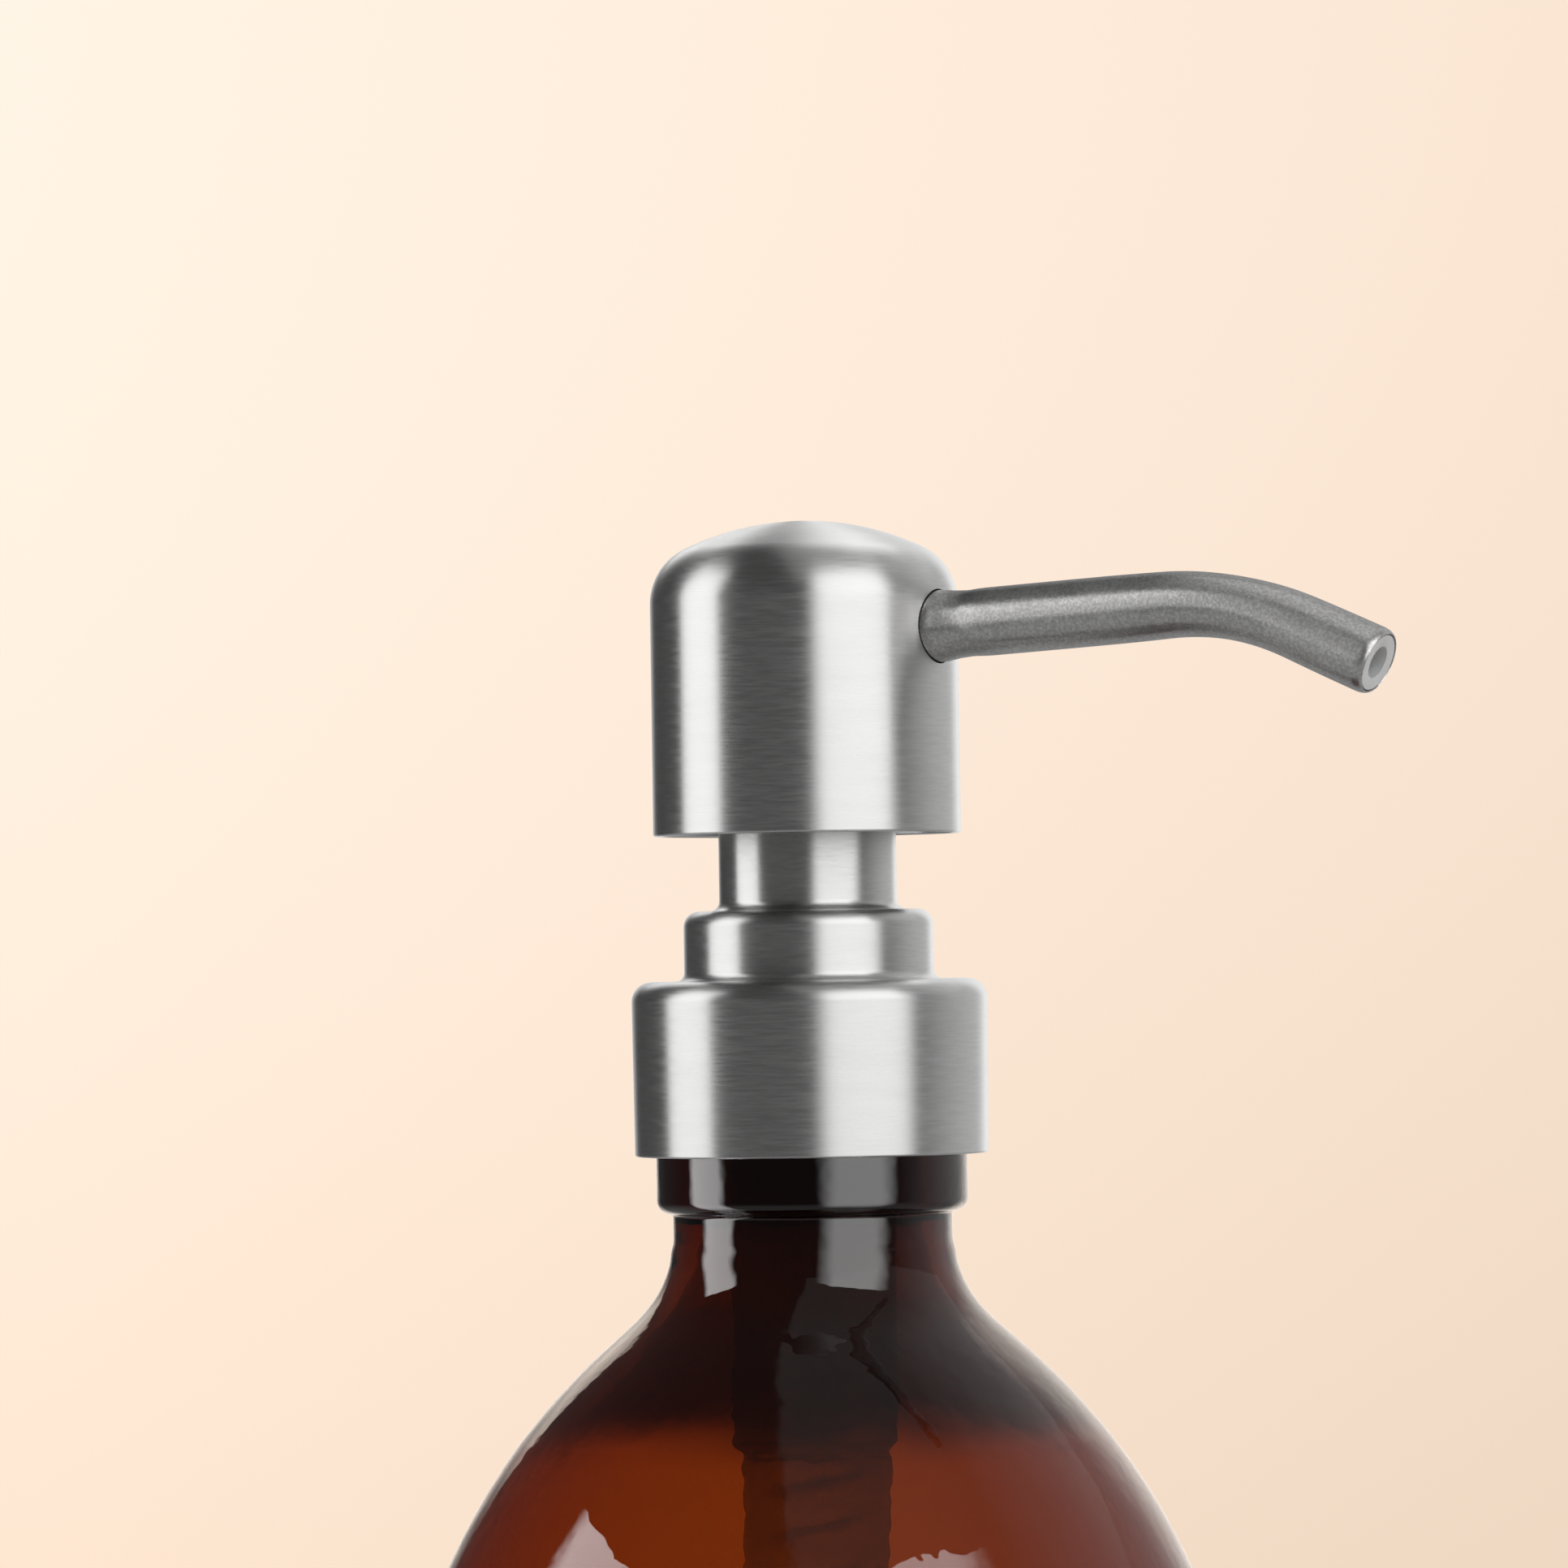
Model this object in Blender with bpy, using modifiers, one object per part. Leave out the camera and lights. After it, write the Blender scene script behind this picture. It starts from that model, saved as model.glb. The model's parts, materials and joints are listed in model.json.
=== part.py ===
"""Soap pump dispenser: a brushed-steel lotion pump screwed onto an amber glass bottle.

Numbers are millimetres, and become metres where a shape is made. The origin is the centre of
the bottle's base, +Z is up, and the spout points along +X. A profile point is (radius, height),
with heights counted up from the bottle's mouth, and a third number is that corner's fillet.
"""

from math import asin, atan2, cos, pi, radians, sin, sqrt, tan, tau

import bmesh
import bpy
from mathutils import Vector

MM = 0.001
GAP = 0.3  # left between two pieces that touch

# Bottle
MOUTH_Z = 176.0
BODY_R = 38.5
GLASS_WALL = 2.8
FLOOR_THICKNESS = 4.5
FLOOR_FILLET = 6.0
HEEL_FILLET = 5.0
BASE_RECESS = 0.8
BASE_PANEL_R = 29.5
BASE_RING_R = 30.5
SHOULDER_ARC_R = 57.7
SHOULDER_H = -71.7
NECK_R = 12.6
NECK_ARC_R = 9.0
BEAD_R = 14.05
BEAD_TOP_H = -10.2
BEAD_BOTTOM_H = -16.2
BEAD_FILLET = 1.3
LIP_FILLET = 0.8

# Screw thread between bottle and collar, right-handed
THREAD_PITCH = 4.23
THREAD_TURNS = 1.3
THREAD_TOP_H = -2.0
BOTTLE_THREAD_R = 12.7
COLLAR_THREAD_R = 14.05
THREAD_BEAD_R = 1.0

# Steel collar: skirt, middle step and chimney drawn from one sheet
STEEL_SHEET = 0.5
SKIRT_BOTTOM_H = -11.0
SKIRT_BOTTOM_R = 15.95
SKIRT_TOP_R = 16.1
SHOULDER_TOP_H = 4.7
STEP_R = 11.275
STEP_TOP_H = 11.0
CHIMNEY_R = 8.025
CHIMNEY_TOP_H = 19.3

# Threaded plastic liner of the collar
INSERT_SHORT_BY = 0.4
INSERT_SEAT_R = 8.4
INSERT_STEP_BORE_R = 9.6
INSERT_ROOF = 0.9

# Pump engine
FLANGE_R = 12.4
FLANGE_TOP_H = 2.7
FLANGE_BOTTOM_H = 1.6
SPIGOT_R = 8.0
SPIGOT_TOP_H = 4.6
GASKET_BORE_R = 7.8
HOUSING_BORE_R = 6.4
HOUSING_WALL = 1.0
BORE_STEP_H = -37.4
LOWER_BORE_R = 5.6
CHAMBER_TOP_H = -57.8
CHAMBER_R = 3.2
SEAT_H = -65.0
SEAT_R = 1.6
SEAT_RISE = 2.5
SEAT_THICKNESS = 1.7
INLET_BALL_R = 2.4
SOCKET_BOTTOM_H = -75.0
DIP_TUBE_R = 2.75
DIP_TUBE_WALL = 0.85
DIP_TUBE_CLEARANCE = 2.5
VENT_R = 0.6
CHAPLET_R = 9.2
CHAPLET_FLANGE = 1.1
CHAPLET_BOSS_R = 5.4
CHAPLET_BOSS = 1.8
CHAPLET_BORE_R = 4.7
STEM_R = 3.5
STEM_BORE_R = 1.75
STEM_TOP_H = 34.0
STEM_BOTTOM_H = -12.0
PISTON_TOP_H = -10.7
PISTON_BOTTOM_H = -18.5
PISTON_LIP = 1.2
PISTON_WAIST_R = 5.2
PISTON_CUP_R = 5.5
PISTON_SLEEVE_R = 2.6
ROD_HEAD_H = -21.7
ROD_HEAD_R = 4.9
ROD_INSERTION = 6.0
ROD_PIN_R = 2.2
ROD_PIN_END_R = 1.4
ROD_PIN_LENGTH = 16.3
SPRING_R = 4.2
SPRING_WIRE_R = 0.4
SPRING_TURNS = 9
RETAINER_TOP_H = -54.0
RETAINER_BORE_R = 1.5

# Pump head, a steel cap over a moulded core
HEAD_R = 13.9
HEAD_SHEET = 0.6
RIM_H = 17.8
CROWN_TOP_H = 46.15
CROWN_R = 25.0
CROWN_FILLET = 5.5
CORE_R = 13.0
CORE_TOP_H = 42.55
CORE_TOP_R = 9.0
CORE_EDGE_H = 38.15
CORE_BOTTOM_H = 32.2
OUTLET_ROOF = 1.8
HUB_R = 5.4
HUB_BOTTOM_H = 20.0

# Spout: it leaves the head rising a little, then droops past one bend
SPOUT_R = 3.05
SPOUT_WALL = 0.4
SPOUT_EXIT_H = 36.2
SPOUT_RISE = radians(2.7)
SPOUT_DROOP = radians(24.0)
SPOUT_BEND_X = 43.4
SPOUT_BEND_R = 29.0
SPOUT_TIP_X = 57.0
SPOUT_HOLE_R = 3.35
LINER_R = 2.35
LINER_BORE_R = 1.45
LINER_START_X = 5.5
TUBE_START_X = 7.4
SEAL_R = 2.85
SEAL_SECTION_R = 0.3

WIDE_SEGMENTS = 28
NARROW_SEGMENTS = 24
SLIM_SEGMENTS = 16


def clear_scene():
    for obj in list(bpy.data.objects):
        bpy.data.objects.remove(obj, do_unlink=True)


def new_collection(name):
    collection = bpy.data.collections.new(name)
    bpy.context.scene.collection.children.link(collection)
    return collection


def principled(name, color, roughness, metallic=0.0, transmission=0.0):
    material = bpy.data.materials.new(name)
    material.use_nodes = True
    shader = material.node_tree.nodes["Principled BSDF"]
    shader.inputs["Base Color"].default_value = (*color, 1.0)
    shader.inputs["Roughness"].default_value = roughness
    shader.inputs["Metallic"].default_value = metallic
    shader.inputs["Transmission Weight"].default_value = transmission
    return material


def arc(centre, radius, start, end, steps):
    """Points on a circle round centre, from one angle to another in radians."""
    angles = [start + (end - start) * k / steps for k in range(steps + 1)]
    return [(centre[0] + radius * cos(a), centre[1] + radius * sin(a)) for a in angles]


def outline(corners, steps=2):
    """The corners as points, with an arc at each corner that states a fillet radius."""
    points = []
    for i, corner in enumerate(corners):
        here = Vector(corner[:2])
        if len(corner) == 2:
            points.append(tuple(here))
            continue
        back = (Vector(corners[i - 1][:2]) - here).normalized()
        ahead = (Vector(corners[(i + 1) % len(corners)][:2]) - here).normalized()
        half = back.angle(ahead) / 2
        centre = here + (back + ahead).normalized() * corner[2] / sin(half)
        first = here + back * corner[2] / tan(half) - centre
        last = here + ahead * corner[2] / tan(half) - centre
        start = atan2(first.y, first.x)
        turn = (atan2(last.y, last.x) - start + pi) % tau - pi
        points += arc(centre, corner[2], start, start + turn, steps)
    return points


def place(obj, material, collection=None):
    """Puts an object in its collection, under the mouth's empty, with its material."""
    for holder in list(obj.users_collection):
        holder.objects.unlink(obj)
    (collection or parts).objects.link(obj)
    obj.parent = mouth
    obj.data.materials.clear()
    if material:
        obj.data.materials.append(material)
    return obj


def turned(name, corners, segments, material, closed=True):
    """A lathed piece: the corners run down its outer side, and back up its inner side."""
    points = outline(corners)
    edges = [(i, i + 1) for i in range(len(points) - 1)]
    if closed:
        edges.append((len(points) - 1, 0))
    mesh = bpy.data.meshes.new(name)
    mesh.from_pydata([(r * MM, 0, h * MM) for r, h in points], edges, [])
    obj = place(bpy.data.objects.new(name, mesh), material)
    screw = obj.modifiers.new("Lathe", "SCREW")
    screw.steps = segments
    screw.render_steps = segments
    screw.use_merge_vertices = True
    screw.merge_threshold = 0.00001
    return obj


def wire_curve(name, route, radius, bevel_resolution, material, collection=None, swell=None):
    """A round bar along a route of (x, y, h) points, thinned by swell(0..1) where it is given."""
    curve = bpy.data.curves.new(name, "CURVE")
    curve.dimensions = "3D"
    curve.bevel_depth = radius * MM
    curve.bevel_resolution = bevel_resolution
    curve.use_fill_caps = True
    spline = curve.splines.new("POLY")
    spline.points.add(len(route) - 1)
    for i, point in enumerate(route):
        spline.points[i].co = (*(Vector(point) * MM), 1)
        spline.points[i].radius = swell(i / (len(route) - 1)) if swell else 1.0
    return place(bpy.data.objects.new(name, curve), material, collection)


def as_mesh(curve_object, collection):
    """The curve's surface as a mesh object of the same name, with its caps welded on."""
    bpy.context.view_layer.update()
    name = curve_object.name
    evaluated = curve_object.evaluated_get(bpy.context.evaluated_depsgraph_get())
    mesh = bpy.data.meshes.new_from_object(evaluated)
    matrix = curve_object.matrix_world.copy()
    material = curve_object.data.materials[0] if curve_object.data.materials else None
    bpy.data.objects.remove(curve_object, do_unlink=True)
    shell = bmesh.new()
    shell.from_mesh(mesh)
    bmesh.ops.remove_doubles(shell, verts=shell.verts, dist=0.00001)
    bmesh.ops.recalc_face_normals(shell, faces=shell.faces)
    shell.to_mesh(mesh)
    shell.free()
    obj = place(bpy.data.objects.new(name, mesh), material, collection)
    obj.matrix_world = matrix
    return obj


def boolean(obj, other, operation):
    modifier = obj.modifiers.new(f"{operation.title()} {other.name}", "BOOLEAN")
    modifier.operation = operation
    modifier.object = other
    modifier.solver = "EXACT"


def hide_cutter(obj):
    obj.hide_render = True
    obj.display_type = "WIRE"
    return obj


def cylinder_cutter(name, radius, length, middle, tilt):
    """A cutting cylinder; tilt is its turn about X, Y and Z from upright."""
    bpy.ops.mesh.primitive_cylinder_add(
        vertices=NARROW_SEGMENTS, radius=radius * MM, depth=length * MM, rotation=tilt
    )
    obj = place(bpy.context.object, None, cutters)
    obj.name = name
    obj.location = Vector(middle) * MM
    return hide_cutter(obj)


def solidify(obj, thickness):
    shell = obj.modifiers.new("Sheet", "SOLIDIFY")
    shell.thickness = thickness * MM
    shell.offset = -1.0
    shell.use_even_offset = True


def thread(name, radius, bead_radius, drop):
    """The helical bead of a thread, its ends running out, as a mesh to be joined to a wall."""
    points_per_turn = 20
    count = round(points_per_turn * THREAD_TURNS)
    top = THREAD_TOP_H - drop
    route = []
    for k in range(count + 1):
        angle = tau * k / points_per_turn
        height = top - THREAD_PITCH * (THREAD_TURNS - angle / tau)
        route.append((radius * cos(angle), radius * sin(angle), height))

    def run_out(along):
        return min(1.0, 0.35 + 6.0 * min(along, 1.0 - along))

    bead = wire_curve(name, route, bead_radius, 2, None, cutters, run_out)
    return hide_cutter(as_mesh(bead, cutters))


def make_bottle(glass):
    """The bottle, walled evenly through body, shoulder and neck, on a ring round a flat recess."""
    base_h = -MOUTH_Z
    shoulder_centre = (BODY_R - SHOULDER_ARC_R, SHOULDER_H)
    neck_centre_r = NECK_R + NECK_ARC_R
    span = SHOULDER_ARC_R + NECK_ARC_R
    rise = asin(sqrt(span**2 - (neck_centre_r - shoulder_centre[0]) ** 2) / span)
    neck_centre = (neck_centre_r, SHOULDER_H + span * sin(rise))
    inner_r = BODY_R - GLASS_WALL
    corners = [
        (0, base_h + FLOOR_THICKNESS),
        (inner_r, base_h + FLOOR_THICKNESS, FLOOR_FILLET),
        *arc(shoulder_centre, SHOULDER_ARC_R - GLASS_WALL, 0, rise, 5),
        *arc(neck_centre, NECK_ARC_R + GLASS_WALL, pi + rise, pi, 3)[1:],
        (NECK_R - GLASS_WALL, 0, LIP_FILLET),
        (NECK_R, 0, LIP_FILLET),
        (NECK_R, BEAD_TOP_H),
        (BEAD_R, BEAD_TOP_H, LIP_FILLET),
        (BEAD_R, BEAD_BOTTOM_H, BEAD_FILLET),
        (NECK_R, BEAD_BOTTOM_H),
        *arc(neck_centre, NECK_ARC_R, pi, pi + rise, 4),
        *arc(shoulder_centre, SHOULDER_ARC_R, rise, 0, 6)[1:],
        (BODY_R, base_h, HEEL_FILLET),
        (BASE_RING_R, base_h),
        (BASE_PANEL_R, base_h + BASE_RECESS),
        (0, base_h + BASE_RECESS),
    ]
    bottle = turned("bottle", corners, WIDE_SEGMENTS, glass, closed=False)
    boolean(bottle, thread("bottle_thread", BOTTLE_THREAD_R, THREAD_BEAD_R, 0.0), "UNION")


def make_collar_shell(steel):
    corners = [
        (CHIMNEY_R, CHIMNEY_TOP_H),
        (CHIMNEY_R, STEP_TOP_H, 0.8),
        (STEP_R, STEP_TOP_H, 1.4),
        (STEP_R, SHOULDER_TOP_H, 0.7),
        (SKIRT_TOP_R, SHOULDER_TOP_H, 1.8),
        (SKIRT_BOTTOM_R, SKIRT_BOTTOM_H),
    ]
    shell = turned("collar_shell", corners, WIDE_SEGMENTS, steel, closed=False)
    solidify(shell, STEEL_SHEET)


def make_collar_insert(plastic):
    """The threaded liner of the collar: skirt, top plate, step wall and chimney tube."""
    skirt_r = SKIRT_BOTTOM_R - STEEL_SHEET - GAP
    step_r = STEP_R - STEEL_SHEET - GAP
    tube_r = CHIMNEY_R - STEEL_SHEET - GAP
    plate_top = SHOULDER_TOP_H - STEEL_SHEET - GAP
    step_top = STEP_TOP_H - STEEL_SHEET - GAP
    corners = [
        (tube_r, CHIMNEY_TOP_H - INSERT_SHORT_BY),
        (tube_r, step_top, 0.5),
        (step_r, step_top, 0.9),
        (step_r, plate_top, 0.3),
        (skirt_r, plate_top, 1.6),
        (skirt_r, SKIRT_BOTTOM_H + INSERT_SHORT_BY),
        (COLLAR_THREAD_R + 0.1, SKIRT_BOTTOM_H + INSERT_SHORT_BY),
        (COLLAR_THREAD_R + 0.1, FLANGE_TOP_H + GAP),
        (INSERT_SEAT_R, FLANGE_TOP_H + GAP),
        (INSERT_SEAT_R, SPIGOT_TOP_H),
        (INSERT_STEP_BORE_R, SPIGOT_TOP_H),
        (INSERT_STEP_BORE_R, step_top - INSERT_ROOF),
        (HUB_R + GAP, step_top - INSERT_ROOF),
        (HUB_R + GAP, CHIMNEY_TOP_H - INSERT_SHORT_BY),
    ]
    insert = turned("collar_insert", corners, WIDE_SEGMENTS, plastic)
    bead = thread("collar_thread", COLLAR_THREAD_R, THREAD_BEAD_R - 0.05, THREAD_PITCH / 2)
    boolean(insert, bead, "UNION")


def make_gasket(rubber):
    top = FLANGE_BOTTOM_H - GAP
    corners = [(FLANGE_R, top), (FLANGE_R, GAP), (GASKET_BORE_R, GAP), (GASKET_BORE_R, top)]
    turned("bottle_gasket", corners, NARROW_SEGMENTS, rubber)


def make_housing(plastic):
    """The pump cylinder: flange, wide and narrow bores, ball seat and dip-tube socket."""
    outer_r = HOUSING_BORE_R + HOUSING_WALL
    lower_r = LOWER_BORE_R + HOUSING_WALL
    socket_r = DIP_TUBE_R + GAP
    corners = [
        (SPIGOT_R, SPIGOT_TOP_H),
        (SPIGOT_R, FLANGE_TOP_H),
        (FLANGE_R, FLANGE_TOP_H),
        (FLANGE_R, FLANGE_BOTTOM_H),
        (outer_r, FLANGE_BOTTOM_H),
        (outer_r, BORE_STEP_H),
        (lower_r, BORE_STEP_H - 1.0),
        (lower_r, CHAMBER_TOP_H),
        (CHAMBER_R + HOUSING_WALL, CHAMBER_TOP_H - 2.6),
        (CHAMBER_R + HOUSING_WALL, SOCKET_BOTTOM_H),
        (socket_r, SOCKET_BOTTOM_H),
        (socket_r, SEAT_H - SEAT_THICKNESS),
        (SEAT_R, SEAT_H - SEAT_THICKNESS),
        (SEAT_R, SEAT_H),
        (CHAMBER_R, SEAT_H + SEAT_RISE),
        (CHAMBER_R, CHAMBER_TOP_H),
        (LOWER_BORE_R, CHAMBER_TOP_H),
        (LOWER_BORE_R, BORE_STEP_H - 0.6),
        (HOUSING_BORE_R, BORE_STEP_H + 0.2),
        (HOUSING_BORE_R, SPIGOT_TOP_H),
    ]
    housing = turned("pump_housing", corners, NARROW_SEGMENTS, plastic)
    vent_h = (PISTON_TOP_H + PISTON_BOTTOM_H) / 2
    middle = (0, outer_r - HOUSING_WALL / 2, vent_h)
    vent = cylinder_cutter("vent_hole", VENT_R, 4 * HOUSING_WALL, middle, (pi / 2, 0, 0))
    boolean(housing, vent, "DIFFERENCE")


def make_chaplet(plastic):
    """The lock ring over the collar's plate: it guides the stem and stops the piston."""
    tube_r = HOUSING_BORE_R - GAP
    flange_bottom = SPIGOT_TOP_H + GAP
    tube_bottom = PISTON_TOP_H + 4 * GAP
    corners = [
        (CHAPLET_BOSS_R, flange_bottom + CHAPLET_BOSS),
        (CHAPLET_BOSS_R, flange_bottom + CHAPLET_FLANGE),
        (CHAPLET_R, flange_bottom + CHAPLET_FLANGE),
        (CHAPLET_R, flange_bottom),
        (tube_r, flange_bottom),
        (tube_r, tube_bottom),
        (CHAPLET_BORE_R, tube_bottom),
        (CHAPLET_BORE_R, 1.0),
        (STEM_R + GAP, 1.9),
        (STEM_R + GAP, flange_bottom + CHAPLET_BOSS),
    ]
    turned("chaplet", corners, NARROW_SEGMENTS, plastic)


def make_stem(plastic):
    corners = [
        (STEM_R, STEM_TOP_H),
        (STEM_R, STEM_BOTTOM_H),
        (STEM_BORE_R, STEM_BOTTOM_H),
        (STEM_BORE_R, STEM_TOP_H),
    ]
    turned("stem", corners, SLIM_SEGMENTS, plastic)


def make_piston(plastic):
    """Two lips that wipe the bore, round a sleeve that the stem's foot sits in."""
    lip_r = HOUSING_BORE_R - GAP
    corners = [
        (lip_r, PISTON_TOP_H),
        (lip_r, PISTON_TOP_H - PISTON_LIP),
        (PISTON_WAIST_R, PISTON_TOP_H - 2 * PISTON_LIP),
        (PISTON_WAIST_R, PISTON_BOTTOM_H + 2 * PISTON_LIP),
        (lip_r, PISTON_BOTTOM_H + PISTON_LIP),
        (lip_r, PISTON_BOTTOM_H),
        (PISTON_CUP_R, PISTON_BOTTOM_H),
        (PISTON_CUP_R - 1.1, PISTON_BOTTOM_H + 1.5 * PISTON_LIP),
        (PISTON_SLEEVE_R, PISTON_BOTTOM_H + 1.5 * PISTON_LIP),
        (PISTON_SLEEVE_R, STEM_BOTTOM_H - GAP),
        (STEM_R + GAP, STEM_BOTTOM_H - GAP),
        (STEM_R + GAP, PISTON_TOP_H - 1.0),
        (PISTON_CUP_R, PISTON_TOP_H),
    ]
    turned("piston", corners, NARROW_SEGMENTS, plastic)


def make_piston_rod(plastic):
    """The rod fixed in the stem's foot: valve head under the piston, spring pin below it."""
    corners = [
        (0, STEM_BOTTOM_H + ROD_INSERTION),
        (STEM_BORE_R - GAP, STEM_BOTTOM_H + ROD_INSERTION),
        (STEM_BORE_R - GAP, PISTON_BOTTOM_H + 0.4),
        (ROD_PIN_R + 0.2, PISTON_BOTTOM_H - 0.5),
        (ROD_HEAD_R, ROD_HEAD_H + 1.6),
        (ROD_HEAD_R, ROD_HEAD_H),
        (ROD_PIN_R, ROD_HEAD_H - 0.6),
        (ROD_PIN_R, ROD_HEAD_H - ROD_PIN_LENGTH + 0.8),
        (ROD_PIN_END_R, ROD_HEAD_H - ROD_PIN_LENGTH),
        (0, ROD_HEAD_H - ROD_PIN_LENGTH),
    ]
    turned("piston_rod", corners, SLIM_SEGMENTS, plastic, closed=False)


def make_return_spring(steel):
    """A compression spring with a closed turn at each end."""
    points_per_turn = 10
    count = points_per_turn * SPRING_TURNS
    bottom = RETAINER_TOP_H + GAP + SPRING_WIRE_R
    top = ROD_HEAD_H - GAP - SPRING_WIRE_R
    closed_pitch = 2 * SPRING_WIRE_R + 0.25
    open_pitch = (top - bottom - 2 * closed_pitch) / (SPRING_TURNS - 2)
    route = []
    for k in range(count + 1):
        turns = k / points_per_turn
        open_turns = min(max(turns - 1.0, 0.0), SPRING_TURNS - 2.0)
        height = bottom + open_turns * open_pitch + (turns - open_turns) * closed_pitch
        angle = tau * turns
        route.append((SPRING_R * cos(angle), SPRING_R * sin(angle), height))
    wire_curve("return_spring", route, SPRING_WIRE_R, 2, steel)


def make_ball_retainer(plastic):
    """The spring's seat: a drilled disc over the ball chamber that keeps the ball in."""
    corners = [
        (LOWER_BORE_R - GAP, RETAINER_TOP_H),
        (LOWER_BORE_R - GAP, CHAMBER_TOP_H + GAP),
        (RETAINER_BORE_R, CHAMBER_TOP_H + GAP),
        (RETAINER_BORE_R, RETAINER_TOP_H),
    ]
    turned("ball_retainer", corners, SLIM_SEGMENTS, plastic)


def make_inlet_ball(steel):
    """The inlet valve's ball, at rest in the cone of its seat."""
    seat_slope = atan2(CHAMBER_R - SEAT_R, SEAT_RISE)
    cone_tip_h = SEAT_H - SEAT_R / tan(seat_slope)
    height = cone_tip_h + (INLET_BALL_R + 0.75 * GAP) / sin(seat_slope)
    bpy.ops.mesh.primitive_uv_sphere_add(segments=12, ring_count=8, radius=INLET_BALL_R * MM)
    ball = place(bpy.context.object, steel)
    ball.name = "inlet_ball"
    ball.location = (0, 0, height * MM)


def make_dip_tube(plastic):
    top = SEAT_H - SEAT_THICKNESS - GAP
    bottom = FLOOR_THICKNESS + DIP_TUBE_CLEARANCE - MOUTH_Z
    bore_r = DIP_TUBE_R - DIP_TUBE_WALL
    corners = [(DIP_TUBE_R, top), (DIP_TUBE_R, bottom), (bore_r, bottom), (bore_r, top)]
    turned("dip_tube", corners, SLIM_SEGMENTS, plastic)


def make_head_shell(steel):
    """The pressed cap: a shallow crown, a soft corner, and a straight open skirt."""
    crown_centre_h = CROWN_TOP_H - CROWN_R
    fillet_r = HEAD_R - CROWN_FILLET
    meet = asin(fillet_r / (CROWN_R - CROWN_FILLET))
    fillet_h = crown_centre_h + (CROWN_R - CROWN_FILLET) * cos(meet)
    corners = [
        *arc((0, crown_centre_h), CROWN_R, pi / 2, pi / 2 - meet, 4),
        *arc((fillet_r, fillet_h), CROWN_FILLET, pi / 2 - meet, 0, 5)[1:],
        (HEAD_R, RIM_H),
    ]
    shell = turned("head_shell", corners, WIDE_SEGMENTS, steel, closed=False)
    solidify(shell, HEAD_SHEET)
    hole = cylinder_cutter(
        "spout_hole",
        SPOUT_HOLE_R,
        8.0,
        (HEAD_R, 0, SPOUT_EXIT_H),
        (0, pi / 2 - SPOUT_RISE, 0),
    )
    boolean(shell, hole, "DIFFERENCE")


def make_head_core(plastic):
    """The plug inside the cap, with a hub for the stem and a cross bore for the spout."""
    corners = [
        (0, CORE_TOP_H),
        (CORE_TOP_R, CORE_TOP_H),
        (CORE_R, CORE_EDGE_H),
        (CORE_R, CORE_BOTTOM_H),
        (HUB_R, CORE_BOTTOM_H),
        (HUB_R, HUB_BOTTOM_H),
        (STEM_R + GAP, HUB_BOTTOM_H),
        (STEM_R + GAP, STEM_TOP_H + GAP),
        (STEM_BORE_R, STEM_TOP_H + GAP),
        (STEM_BORE_R, SPOUT_EXIT_H + OUTLET_ROOF),
        (0, SPOUT_EXIT_H + OUTLET_ROOF),
    ]
    core = turned("head_core", corners, NARROW_SEGMENTS, plastic, closed=False)
    tilt = (0, pi / 2 - SPOUT_RISE, 0)
    socket_start = LINER_START_X - GAP
    for name, radius, start, end in (
        ("spout_socket", SPOUT_HOLE_R, socket_start, CORE_R + 2.0),
        ("outlet_channel", LINER_BORE_R, 0.6, socket_start + 1.0),
    ):
        middle = (start + end) / 2
        length = (end - start) / cos(SPOUT_RISE)
        bore = cylinder_cutter(name, radius, length, (middle, 0, spout_height(middle)), tilt)
        boolean(core, bore, "DIFFERENCE")


def spout_height(x):
    """Height of the spout's centre line where it still runs straight out of the head."""
    return SPOUT_EXIT_H + (x - HEAD_R) * tan(SPOUT_RISE)


def spout_route(start_x, past_tip):
    """The spout's centre line from start_x to past_tip beyond its cut end."""
    bend_h = spout_height(SPOUT_BEND_X)
    end_x = SPOUT_TIP_X + past_tip * cos(SPOUT_DROOP)
    end_h = bend_h - (end_x - SPOUT_BEND_X) * tan(SPOUT_DROOP)
    corners = [
        (start_x, spout_height(start_x)),
        (SPOUT_BEND_X, bend_h, SPOUT_BEND_R),
        (end_x, end_h),
    ]
    return [(x, 0, h) for x, h in outline(corners, steps=6)]


def bent_tube(name, outer_r, bore_r, start_x, past_tip, bevel_resolution, material):
    bar = wire_curve(
        name, spout_route(start_x, past_tip), outer_r, bevel_resolution, material
    )
    bar = as_mesh(bar, parts)
    bore = wire_curve(
        f"{name}_bore",
        spout_route(start_x - 1.0, past_tip + 1.0),
        bore_r,
        bevel_resolution,
        None,
        cutters,
    )
    boolean(bar, hide_cutter(as_mesh(bore, cutters)), "DIFFERENCE")


def make_spout(steel, plastic, rubber):
    bent_tube("spout_tube", SPOUT_R, SPOUT_R - SPOUT_WALL, TUBE_START_X, 0.0, 6, steel)
    bent_tube("spout_liner", LINER_R, LINER_BORE_R, LINER_START_X, -0.3, 4, plastic)
    seal_x = (LINER_START_X + TUBE_START_X) / 2
    bpy.ops.mesh.primitive_torus_add(
        major_radius=SEAL_R * MM,
        minor_radius=SEAL_SECTION_R * MM,
        major_segments=SLIM_SEGMENTS,
        minor_segments=6,
        rotation=(0, pi / 2 - SPOUT_RISE, 0),
    )
    seal = place(bpy.context.object, rubber)
    seal.name = "spout_seal"
    seal.location = Vector((seal_x, 0, spout_height(seal_x))) * MM


clear_scene()
parts = new_collection("soap_pump_dispenser")
cutters = new_collection("cutters")
mouth = bpy.data.objects.new("bottle_mouth", None)
mouth.location = (0, 0, MOUTH_Z * MM)
parts.objects.link(mouth)

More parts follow.
